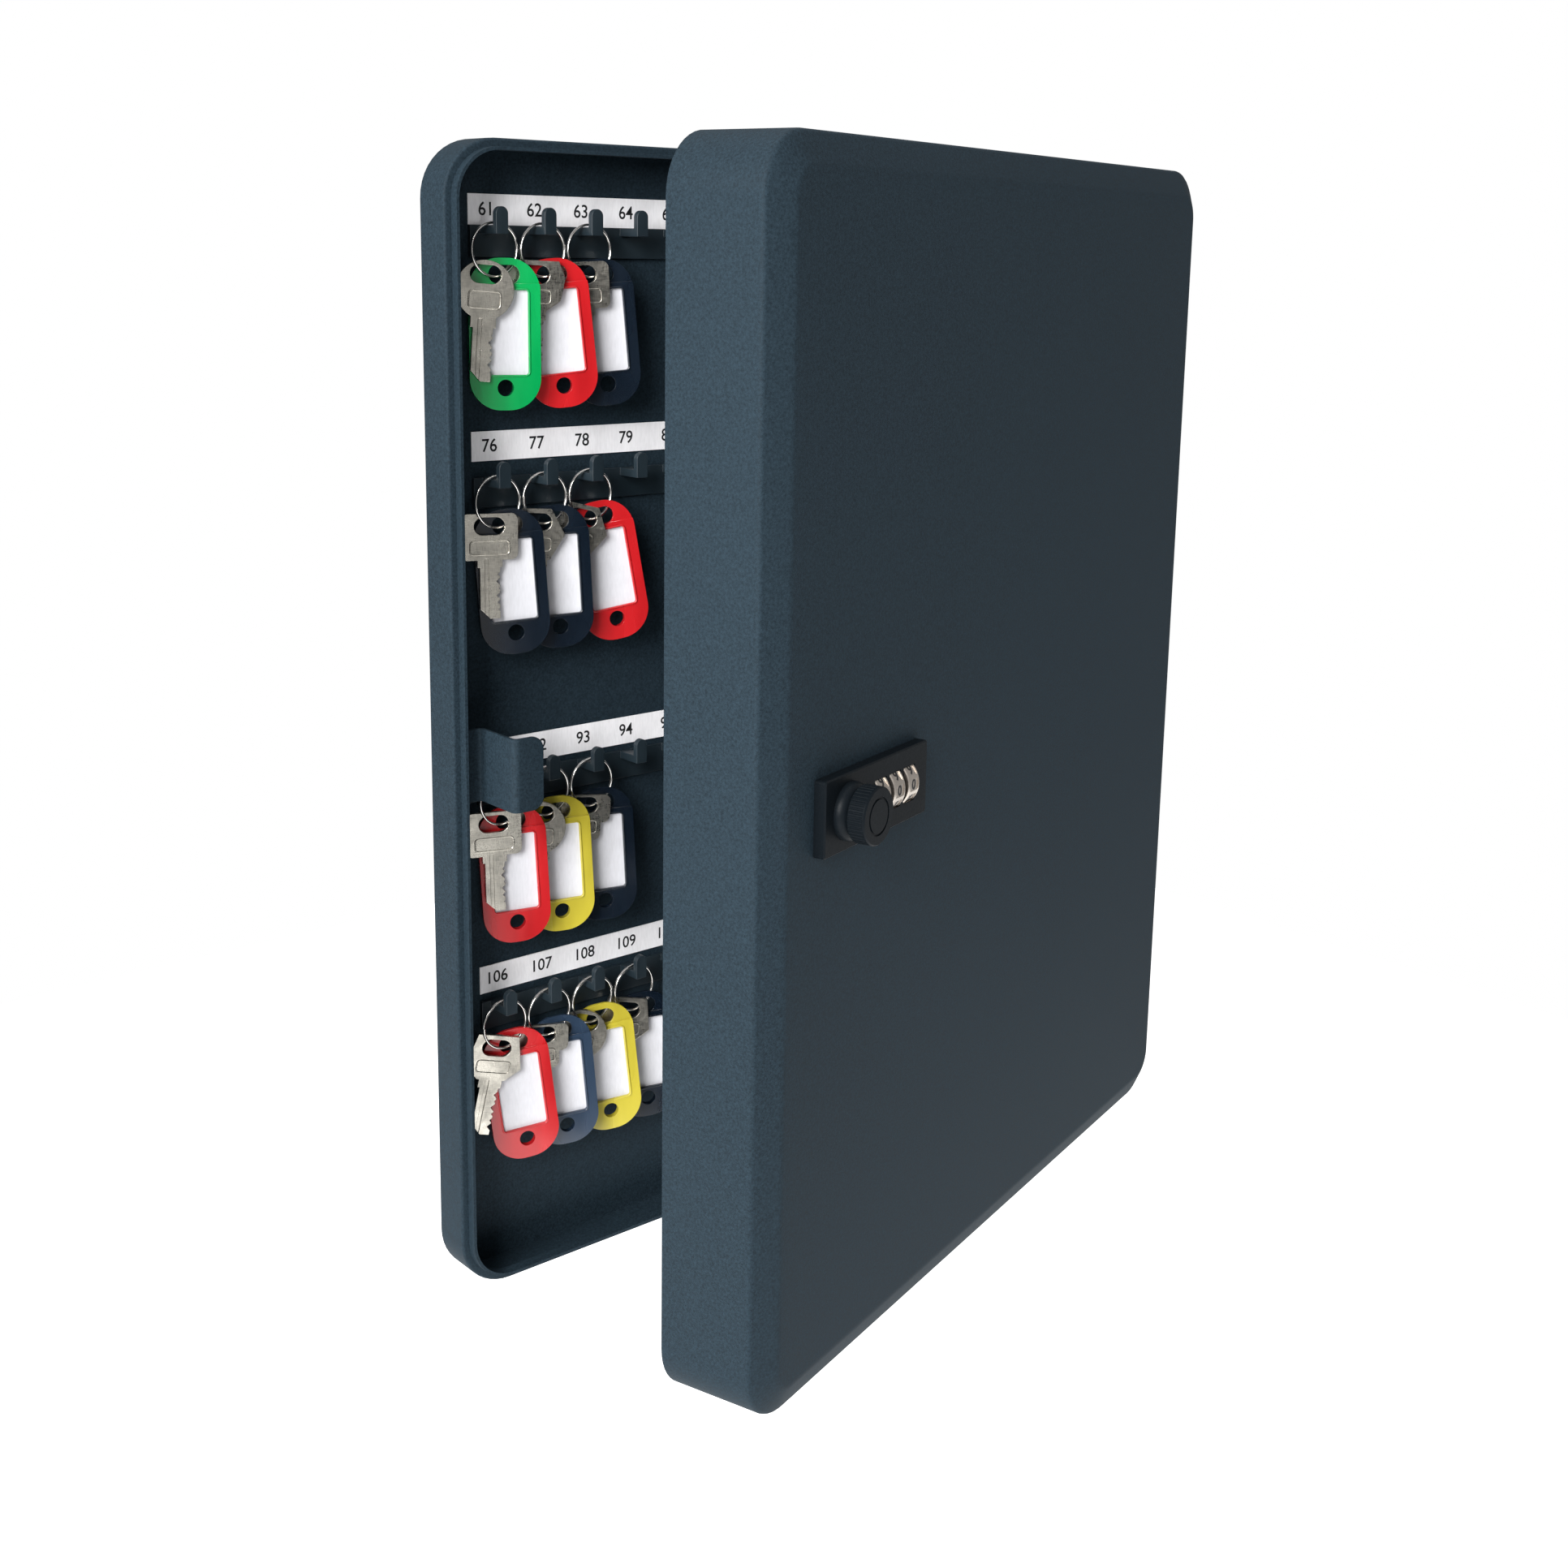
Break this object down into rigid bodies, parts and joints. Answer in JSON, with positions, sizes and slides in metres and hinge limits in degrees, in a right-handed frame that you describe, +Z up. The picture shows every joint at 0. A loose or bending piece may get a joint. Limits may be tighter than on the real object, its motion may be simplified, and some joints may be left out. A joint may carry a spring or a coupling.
{
  "type": "key cabinet",
  "caption": "Shallow wall-hung key cabinet with a hinged deep lid, a combination knob lock, rows of numbered hooks and hanging tagged keys.",
  "frame": {"origin": "middle of the four wall holes, on the wall face of the back tray", "axes": "+Z up, -Y out of the front, +X towards the hinge side; the wall is the plane Y = 0"},
  "size_m": [0.3605, 0.166, 0.43],
  "materials": {
    "case_paint": "fine-grained satin powder coat, dark blue-grey",
    "hook_plastic": "moulded satin, dark blue-grey",
    "label_paper": "printed self-adhesive label with a satin laminate",
    "zinc_steel": "bright zinc plate",
    "lock_black": "satin black lacquer on die-cast zinc",
    "lock_body": "moulded black",
    "dial_metal": "satin nickel with black figures",
    "ring_wire": "bright nickel-plated spring wire",
    "tag_green": "gloss, slightly translucent",
    "tag_red": "gloss, slightly translucent",
    "tag_black": "gloss",
    "tag_yellow": "gloss, slightly translucent",
    "tag_blue": "gloss",
    "card_paper": "plain white card",
    "key_metal": "nickel-plated brass, worn"
  },
  "bodies": {
    "case": {"back_tray": "case_paint", "latch_bracket": "case_paint", "hinge_leaves_case": "zinc_steel", "hinge_pins": "zinc_steel", "hinge_rivets_case": "zinc_steel", "hook_strip_case_1": "hook_plastic", "hook_strip_case_2": "hook_plastic", "hook_strip_case_3": "hook_plastic", "hook_strip_case_4": "hook_plastic", "number_label_case_1": "label_paper", "number_label_case_2": "label_paper", "number_label_case_3": "label_paper", "number_label_case_4": "label_paper", "key_rings": "ring_wire", "key_tags_green": "tag_green", "key_tags_red": "tag_red", "key_tags_black": "tag_black", "key_tags_yellow": "tag_yellow", "key_tags_blue": "tag_blue", "tag_cards": "card_paper", "keys_round_bow": "key_metal", "keys_angular_bow": "key_metal", "keys_square_bow": "key_metal", "keys_hexagon_bow": "key_metal", "keys_stepped_bow": "key_metal", "keys_trapezoid_bow": "key_metal"},
    "door": {"door_tray": "case_paint", "hinge_leaves_door": "zinc_steel", "hinge_rivets_door": "zinc_steel", "hook_strip_door_1": "hook_plastic", "hook_strip_door_2": "hook_plastic", "hook_strip_door_3": "hook_plastic", "hook_strip_door_4": "hook_plastic", "number_label_door_1": "label_paper", "number_label_door_2": "label_paper", "number_label_door_3": "label_paper", "number_label_door_4": "label_paper", "lock_plate": "lock_black", "lock_housing": "lock_body", "lock_screws": "zinc_steel", "dial_axle": "zinc_steel", "knob_collar": "lock_black"},
    "knob_shaft": {"knob": "lock_black", "spindle": "zinc_steel", "spindle_clip": "zinc_steel", "latch_cam": "zinc_steel", "cam_screw": "zinc_steel"},
    "dial_1": {"dial_wheel_1": "dial_metal"},
    "dial_2": {"dial_wheel_2": "dial_metal"},
    "dial_3": {"dial_wheel_3": "dial_metal"},
    "code_lever": {"code_lever": "lock_body"}
  },
  "joints": [
    {"name": "door_hinge", "type": "hinge", "parent": "case", "child": "door", "pos_m": [0.1785, -0.0175, 0], "axis": [0, 0, 1], "range_deg": [-17, 92]},
    {"name": "knob_turn", "type": "hinge", "parent": "door", "child": "knob_shaft", "pos_m": [-0.10549, -0.15232, -0.0035], "axis": [0.2924, -0.9563, 0], "range_deg": [0, 90]},
    {"name": "dial_1_turn", "type": "hinge", "parent": "door", "child": "dial_1", "pos_m": [-0.08746, -0.1398, -0.0035], "axis": [0.9563, 0.2924, 0], "continuous": true},
    {"name": "dial_2_turn", "type": "hinge", "parent": "door", "child": "dial_2", "pos_m": [-0.0779, -0.13688, -0.0035], "axis": [0.9563, 0.2924, 0], "continuous": true},
    {"name": "dial_3_turn", "type": "hinge", "parent": "door", "child": "dial_3", "pos_m": [-0.06834, -0.13396, -0.0035], "axis": [0.9563, 0.2924, 0], "continuous": true},
    {"name": "code_lever_slide", "type": "slide", "parent": "door", "child": "code_lever", "axis": [0.9563, 0.2924, 0], "range_m": [0, 0.003]}
  ]
}
